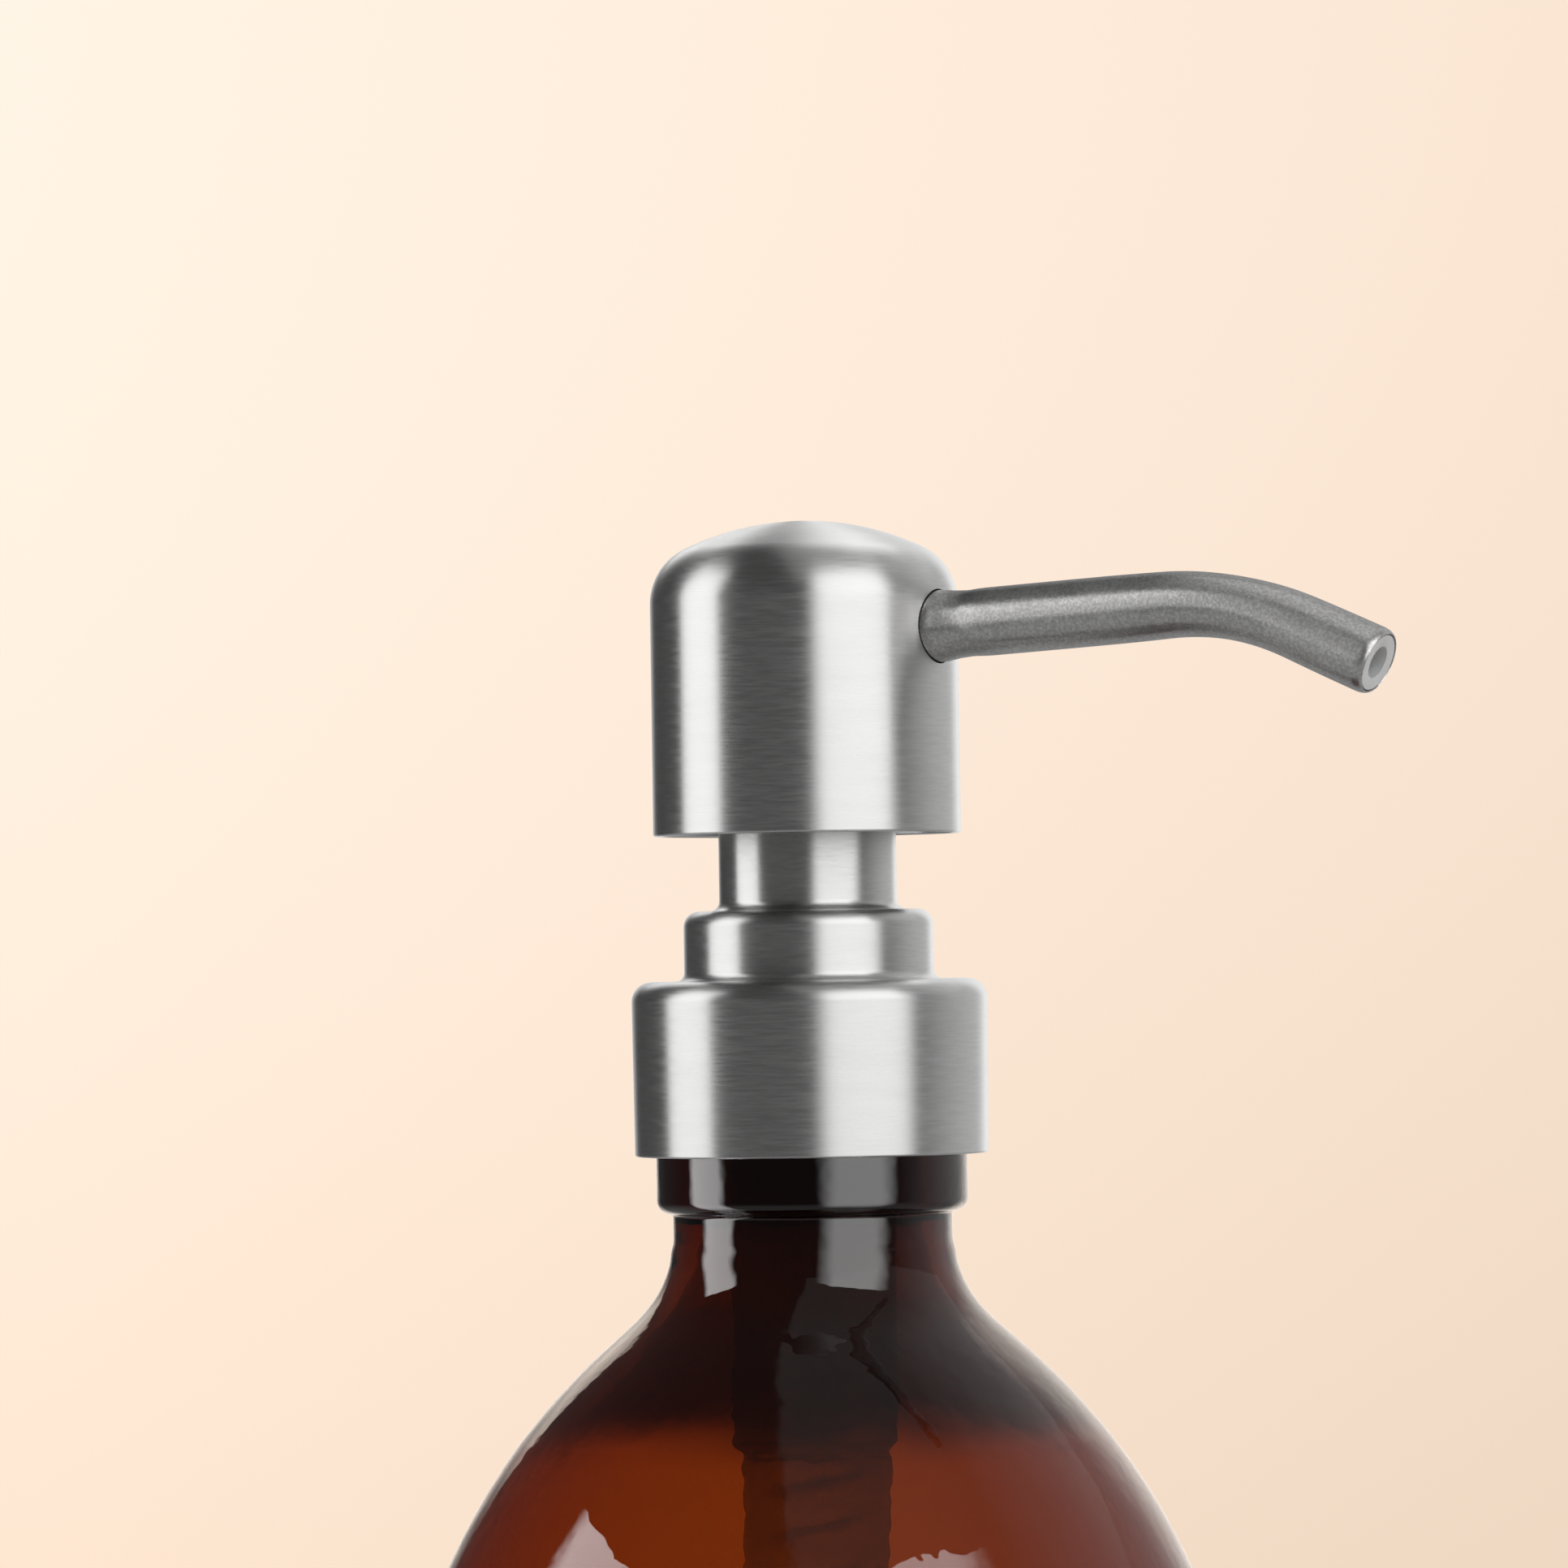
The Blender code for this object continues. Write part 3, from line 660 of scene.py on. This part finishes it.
def spout_axis(along):
    """The spout's frame at a distance past its corner: it rises, bends, and then droops.

    Bending has flattened the tube a little, so the upward direction is shorter there.
    """
    turn = SPOUT_RISE + SPOUT_DROOP
    reach = SPOUT_BEND_R * tan(turn / 2)
    corner = Vector((SPOUT_BEND_X, 0, spout_height(SPOUT_BEND_X)))
    rising = Vector((cos(SPOUT_RISE), 0, sin(SPOUT_RISE)))
    falling = Vector((cos(SPOUT_DROOP), 0, -sin(SPOUT_DROOP)))
    bend_length = SPOUT_BEND_R * turn
    into = along + bend_length / 2
    if into <= 0.0:
        centre, slope = corner + rising * (into - reach), SPOUT_RISE
    elif into >= bend_length:
        centre, slope = corner + falling * (into - bend_length + reach), -SPOUT_DROOP
    else:
        slope = SPOUT_RISE - into / SPOUT_BEND_R
        up = Vector((-sin(SPOUT_RISE), 0, cos(SPOUT_RISE)))
        pivot = corner - rising * reach - up * SPOUT_BEND_R
        centre = pivot + Vector((-sin(slope), 0, cos(slope))) * SPOUT_BEND_R
    upwards = Vector((-sin(slope), 0, cos(slope)))
    squash = BEND_SQUASH * exp(-((along / BEND_SPREAD) ** 2))
    return centre, Vector((0, 1, 0)), upwards * (1.0 - squash)


def place_on_spout(x, falling):
    """How far past its corner the spout passes x, on its rising or its falling run."""
    slope = SPOUT_DROOP if falling else SPOUT_RISE
    turn = SPOUT_RISE + SPOUT_DROOP
    spare = SPOUT_BEND_R * (turn / 2 - tan(turn / 2))
    run = abs(x - SPOUT_BEND_X) / cos(slope)
    return run + spare if falling else -run - spare


def make_spout(steel, plastic):
    """The bent steel tube, flared where it leaves the head, and the plastic tube inside it."""
    start = place_on_spout(SPOUT_START_X, False)
    tip = place_on_spout(SPOUT_TIP_X, True)
    exit_place = place_on_spout(HEAD_R, False)
    inner_r = SPOUT_R - SPOUT_WALL

    def tube_radius(along):
        """A slight flare in the hole and a slight waist after it."""
        past = along - exit_place
        into_flare = min(1.0, max(0.0, 1.0 - (past - 0.4) / 1.6))
        flare = SPOUT_FLARE * (0.5 - 0.5 * cos(pi * into_flare))
        waist = SPOUT_WAIST * max(0.0, 1.0 - abs(past - 3.2) / 2.2) ** 2
        return SPOUT_R + flare - waist

    outside = [
        (tube_radius(start + k * 0.5), start + k * 0.5)
        for k in range(ceil((tip - 1.3 - start) / 0.5))
    ]
    rolled = [
        (SPOUT_R - TIP_ROLL_IN * (1 - cos(a)), tip - TIP_ROLL_LENGTH * (1 - sin(a)))
        for a in (radians(9 * k) for k in range(10))
    ]
    bore_end = (rolled[-1][0] - 0.03, tip - 0.05)
    tube_points = [
        *outside,
        *rolled,
        bore_end,
        (inner_r - 0.04, tip - 0.35),
        *[(inner_r, tip - 0.8 - 1.2 * k) for k in range(int((tip - start) / 1.2))],
        (inner_r, start),
    ]
    tube = skin("spout_metal", tube_points, 72, spout_axis)
    stand_for(tube, "spout_tube", steel)

    first = place_on_spout(LINER_START_X, False)
    last = tip - LINER_SHORT_BY
    steps = ceil((last - first) / 0.8)
    along = [first + (last - 0.3 - first) * k / steps for k in range(steps + 1)]
    liner_points = [
        *[(LINER_R, s) for s in along],
        (LINER_R, last - 0.04),
        (LINER_R - 0.04, last),
        (LINER_BORE_R + 0.15, last),
        (LINER_BORE_R + 0.02, last - 0.08),
        *[(LINER_BORE_R, s) for s in reversed(along)],
    ]
    liner = skin("spout_inner_tube", liner_points, 48, spout_axis)
    stand_for(liner, "spout_liner", plastic)


def make_spring(steel):
    """The return spring, with a closed turn at each end."""
    bottom = low_height("return_spring") + SPRING_WIRE_R
    top = high("return_spring", "z") - SPRING_WIRE_R
    closed_pitch = 2 * SPRING_WIRE_R + 0.25
    open_pitch = (top - bottom - 2 * closed_pitch) / (SPRING_TURNS - 2)

    def coil(turns):
        open_turns = min(max(turns - 1.0, 0.0), SPRING_TURNS - 2.0)
        height = bottom + open_turns * open_pitch + (turns - open_turns) * closed_pitch
        out = Vector((cos(tau * turns), sin(tau * turns), 0))
        return out * SPRING_R + Vector((0, 0, height)), out, Vector((0, 0, 1))

    steps = SPRING_TURNS * 40
    places = [SPRING_TURNS * k / steps for k in range(steps + 1)]
    wire = [(0.0, places[0]), *[(SPRING_WIRE_R, p) for p in places], (0.0, places[-1])]
    spring = skin("spring_wire", wire, 12, coil, closed=False)
    stand_for(spring, "return_spring", steel)
    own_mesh(spring)


def make_housing(plastic):
    """The pump cylinder: flange, wide and narrow bores, ball seat and dip-tube socket."""
    bore, wall, lower_bore, chamber = 6.4, 1.0, 5.6, 3.2
    flange_r, flange_h, spigot_r, spigot_h = 12.4, 2.7, 8.0, 4.6
    step_h, chamber_h, seat_h = -37.4, -57.8, -65.0
    bottom_h = low_height("pump_housing")
    socket_r = 3.05
    corners = [
        (spigot_r, spigot_h, 0.3),
        (spigot_r, flange_h),
        (flange_r, flange_h, 0.3),
        (flange_r, 1.6, 0.3),
        (bore + wall, 1.6),
        (bore + wall, step_h, 0.4),
        (lower_bore + wall, step_h - 1.0, 0.4),
        (lower_bore + wall, chamber_h, 0.8),
        (chamber + wall, chamber_h - 2.6, 0.8),
        (chamber + wall, bottom_h, 0.3),
        (socket_r, bottom_h, 0.3),
        (socket_r, seat_h - 1.7),
        (1.6, seat_h - 1.7),
        (1.6, seat_h),
        (chamber, seat_h + 2.5),
        (chamber, chamber_h),
        (lower_bore, chamber_h),
        (lower_bore, step_h - 0.6),
        (bore, step_h + 0.2),
        (bore, spigot_h, 0.3),
    ]
    housing = skin("housing_tube", outline(corners), 72)
    weigh_normals(housing)
    stand_for(housing, "pump_housing", plastic)


def make_dip_tube(plastic):
    """The straight suction tube, cut square at both ends."""
    outer = high("dip_tube", "x")
    bore, top, bottom = outer - 0.85, high("dip_tube", "z"), low_height("dip_tube")
    corners = [
        (outer, top, 0.15),
        *stretch((outer, top - 2.0), (outer, bottom + 2.0), 2.5),
        (outer, bottom, 0.15),
        (bore, bottom, 0.15),
        (bore, top, 0.15),
    ]
    tube = skin("suction_tube", outline(corners), 48)
    stand_for(tube, "dip_tube", plastic)


def make_ball(steel):
    """The inlet valve's ball."""
    low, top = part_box("inlet_ball")
    centre_h = ((low.z + top.z) / 2 - MOUTH_Z) / MM
    radius = (top.z - low.z) / 2 / MM
    points = arc((0, centre_h), radius, pi / 2, -pi / 2, radians(7))
    points[0], points[-1] = (0.0, centre_h + radius), (0.0, centre_h - radius)
    ball = skin("valve_ball", points, 48, closed=False)
    stand_for(ball, "inlet_ball", steel)


def dress(node, material):
    """Gives a CAD node that stays in view its finish."""
    data = frame["nodes"][node].data
    data.materials.clear()
    data.materials.append(material)


# ---------------------------------------------------------------- studio

NO_FADE = 0.001
WHITE_LIGHT = (1.0, 1.0, 1.0)
CREAM_LIGHT = (1.0, 0.86, 0.74)
OVERHEAD_Z = 0.88
SPOUT_TOP_Z = 1.0
CEILING_Z = 1.1
FLOOR_R = 0.7


def towards(azimuth):
    """The level direction at an azimuth in degrees."""
    angle = radians(azimuth)
    return Vector((sin(angle), -cos(angle), 0))


def card(name, strength, edge, width, height, only=None, color=WHITE_LIGHT, foot=NO_FADE):
    """A glowing card of one face, dimmer towards its sides over a share edge of its width.

    It also gets dimmer towards its foot, over a share foot of its height. It lights all the
    objects, or just those in the collection only.
    """
    shape = bmesh.new()
    corners = ((-1, -1), (1, -1), (1, 1), (-1, 1))
    shape.faces.new([shape.verts.new((x * width / 2, y * height / 2, 0)) for x, y in corners])
    data = bpy.data.meshes.new(name)
    shape.to_mesh(data)
    shape.free()
    obj = bpy.data.objects.new(name, data)
    bpy.context.scene.collection.objects.link(obj)
    material, nodes = new_material(name)
    place = nodes.add("ShaderNodeSeparateXYZ", {0: nodes.place()}).outputs
    inset = nodes.math("SUBTRACT", width / 2, nodes.math("ABSOLUTE", place["X"]))
    sides = nodes.ramp(inset, 0.0, edge * width, 0.0, strength)
    rise = nodes.ramp(place["Y"], -height / 2, foot * height - height / 2)
    glow = nodes.math("MULTIPLY", sides, rise)
    lamp = nodes.add("ShaderNodeEmission", {"Color": rgba(color), "Strength": glow})
    clear = nodes.add("ShaderNodeBsdfTransparent")
    both = nodes.add("ShaderNodeAddShader", {0: lamp.outputs[0], 1: clear.outputs[0]})
    output = nodes.add("ShaderNodeOutputMaterial")
    nodes.tree.links.new(both.outputs[0], output.inputs["Surface"])
    data.materials.append(material)
    obj.visible_camera = False
    obj.visible_transmission = False
    obj.visible_shadow = False
    if only:
        obj.light_linking.receiver_collection = only
    return obj


def softbox(azimuth, half_angle, distance, bottom, top, **look):
    """A tall card standing round the pump, wide enough to fill an angle either side."""
    width = 2 * distance * tan(radians(half_angle))
    box = card(width=width, height=top - bottom, **look)
    box.location = towards(azimuth) * distance + Vector((0, 0, (top + bottom) / 2))
    box.rotation_euler = Euler((pi / 2, 0, radians(azimuth)))
    return box


def make_lights():
    """Cards round the pump and over it; glass, spout and steel have some of their own."""
    glass = bpy.data.collections.new("glass_only")
    glass.objects.link(bpy.data.objects["bottle_glass"])
    spout = bpy.data.collections.new("spout_only")
    spout.objects.link(bpy.data.objects["spout_metal"])
    metal = bpy.data.collections.new("all_but_glass")
    steel = bpy.data.collections.new("all_but_glass_and_spout")
    for obj in bpy.context.scene.objects:
        if obj.type == "MESH" and obj.name != "bottle_glass":
            metal.objects.link(obj)
            if obj.name != "spout_metal":
                steel.objects.link(obj)
    turns = (-86.0, 38.0, 172.0, -164.0, -60.0, -42.0)
    left, right, rear, rim, front, above = (CAMERA_AZIMUTH + turn for turn in turns)
    for name, azimuth, half_angle, distance, bottom, top, strength, edge, foot, only, color in (
        ("left_metal", left, 21.0, 0.60, 0.02, 0.80, 1.6, 0.12, NO_FADE, metal, WHITE_LIGHT),
        ("right_metal", right, 37.0, 0.70, 0.02, 1.0, 1.65, 0.22, NO_FADE, metal, WHITE_LIGHT),
        ("rear_metal", rear, 36.0, 0.70, 0.02, 1.05, 0.6, 0.35, NO_FADE, steel, WHITE_LIGHT),
        ("rim_metal", rim, 12.0, 0.80, 0.45, 0.95, 1.5, 0.30, NO_FADE, steel, WHITE_LIGHT),
        ("left_glass", left + 1.0, 19.0, 0.61, -0.7, 0.61, 5.7, 0.22, 0.5, glass, WHITE_LIGHT),
        ("right_glass", right - 3.0, 33.0, 0.71, -0.7, 0.87, 4.2, 0.30, 0.5, glass, WHITE_LIGHT),
        ("rear_glass", rear, 36.0, 0.70, -0.5, 0.75, 1.1, 0.35, 0.35, glass, CREAM_LIGHT),
        ("rim_glass", rim, 10.0, 0.80, 0.22, 0.75, 1.1, 0.05, 0.25, glass, CREAM_LIGHT),
        ("spout_front", front, 7.0, 0.61, 0.15, 0.80, 1.1, 0.35, NO_FADE, spout, WHITE_LIGHT),
        ("spout_fill", above, 30.0, 0.80, 0.10, 1.40, 0.3, 0.30, NO_FADE, spout, WHITE_LIGHT),
    ):
        look = {"name": name, "strength": strength, "edge": edge, "foot": foot}
        softbox(azimuth, half_angle, distance, bottom, top, only=only, color=color, **look)
    behind = CAMERA_AZIMUTH + 158.0
    overhead = card("overhead", 1.3, 0.3, 0.5, 0.36, steel)
    overhead.location = towards(behind) * 0.45 + Vector((0, 0, OVERHEAD_Z))
    overhead.rotation_euler = Euler((radians(35), 0, radians(behind)))
    spout_top = card("spout_top", 0.4, 0.3, 0.9, 0.9, spout)
    spout_top.location = (0.0, 0.0, SPOUT_TOP_Z)
    ceiling = card("ceiling", 0.2, 0.015, 2.6, 2.6)
    ceiling.location = towards(CAMERA_AZIMUTH + 90.0) * 1.13 + Vector((0, 0, CEILING_Z))
    ceiling.rotation_euler = Euler((0, 0, radians(CAMERA_AZIMUTH)))


def make_world():
    """Cream behind the object, and neutral grey studio walls for it to reflect."""
    world = bpy.data.worlds.new("studio")
    bpy.context.scene.world = world
    world.use_nodes = True
    nodes = Nodes(world.node_tree)
    direction = nodes.add("ShaderNodeTexCoord").outputs["Generated"]
    rightwards = towards(CAMERA_AZIMUTH + 90.0)
    reach = sin(atan(SENSOR_WIDTH / 2 / LENS))
    sideways = nodes.vector("DOT_PRODUCT", direction, tuple(rightwards))
    upwards = nodes.add("ShaderNodeSeparateXYZ", {0: direction}).outputs["Z"]
    across = nodes.ramp(sideways, -reach, reach, kind="LINEAR")
    upper = nodes.blend(across, (1.06, 0.91, 0.785), (0.955, 0.79, 0.65))
    lower = nodes.blend(across, (1.0, 0.80, 0.64), (0.855, 0.685, 0.54))
    level = nodes.ramp(upwards, sin(TILT) + reach, sin(TILT) - reach, kind="LINEAR")
    backdrop = nodes.blend(nodes.math("POWER", level, 1.7), upper, lower)
    side = nodes.vector("DOT_PRODUCT", direction, tuple(towards(CAMERA_AZIMUTH + 135.0)))
    facing = nodes.ramp(side, 0.35, 1.0, kind="LINEAR")
    wall = nodes.blend(facing, (0.07, 0.07, 0.07), (0.62, 0.62, 0.62))
    room = nodes.blend(nodes.ramp(upwards, -0.1, -0.5), wall, (0.36, 0.36, 0.36))
    paths = nodes.add("ShaderNodeLightPath").outputs
    seen = nodes.math("MAXIMUM", paths["Is Camera Ray"], paths["Is Transmission Ray"])
    color = nodes.blend(seen, room, backdrop)
    sky = nodes.add("ShaderNodeBackground", {"Color": color})
    output = nodes.add("ShaderNodeOutputWorld")
    nodes.tree.links.new(sky.outputs[0], output.inputs["Surface"])


def make_floor():
    """A pale round floor that melts into the backdrop towards its edge."""
    bpy.ops.mesh.primitive_circle_add(
        vertices=96, radius=FLOOR_R, fill_type="NGON", location=(0, 0, -0.0002)
    )
    floor = bpy.context.object
    floor.name = "floor"
    material, nodes = new_material("floor")
    place = nodes.place()
    away = nodes.add("ShaderNodeVectorMath", {0: place}, operation="LENGTH").outputs["Value"]
    grain = nodes.noise(place, 30.0, 3.0)
    paint = nodes.blend(grain, (0.80, 0.70, 0.60), (0.84, 0.74, 0.64))
    matt = nodes.add("ShaderNodeBsdfDiffuse", {"Color": paint})
    glow = nodes.add("ShaderNodeEmission", {"Color": paint, "Strength": 0.35})
    solid = nodes.add("ShaderNodeAddShader", {0: matt.outputs[0], 1: glow.outputs[0]})
    clear = nodes.add("ShaderNodeBsdfTransparent")
    fade = nodes.ramp(away, 0.16, 0.62)
    mix = nodes.add("ShaderNodeMixShader", {0: fade, 1: solid.outputs[0], 2: clear.outputs[0]})
    output = nodes.add("ShaderNodeOutputMaterial")
    nodes.tree.links.new(mix.outputs[0], output.inputs["Surface"])
    floor.data.materials.append(material)
    floor.visible_glossy = False


def make_camera():
    """The lens in front of the object, aimed a little up and rolled with the pump's lean."""
    data = bpy.data.cameras.new("camera")
    data.lens = LENS
    data.sensor_width = SENSOR_WIDTH
    data.clip_start = 0.05
    camera = bpy.data.objects.new("camera", data)
    bpy.context.scene.collection.objects.link(camera)
    camera.location = towards(CAMERA_AZIMUTH) * CAMERA_DISTANCE + Vector((0, 0, CAMERA_Z))
    aim = Euler((pi / 2 + TILT, 0, radians(CAMERA_AZIMUTH) + AXIS_OFF_CENTRE)).to_quaternion()
    camera.rotation_mode = "QUATERNION"
    camera.rotation_quaternion = aim @ Quaternion((0, 0, 1), -LEAN)
    bpy.context.scene.camera = camera


# ---------------------------------------------------------------- assembly

brushed = brushed_steel()
satin = satin_steel()
amber = amber_glass()
bright = spring_steel()
white = white_plastic()
milky = clear_plastic()
rubber = gasket_rubber()

make_camera()
make_bottle(amber)
make_collar(brushed)
make_head(brushed)
make_spout(satin, milky)
make_spring(bright)
make_housing(white)
make_dip_tube(milky)
make_ball(bright)
for node, finish in (
    ("collar_insert", white),
    ("chaplet", white),
    ("stem", white),
    ("piston", milky),
    ("piston_rod", white),
    ("ball_retainer", white),
    ("head_core", white),
    ("bottle_gasket", rubber),
    ("spout_seal", rubber),
):
    dress(node, finish)

make_world()
make_floor()
make_lights()
bpy.context.scene.view_settings.view_transform = "Standard"
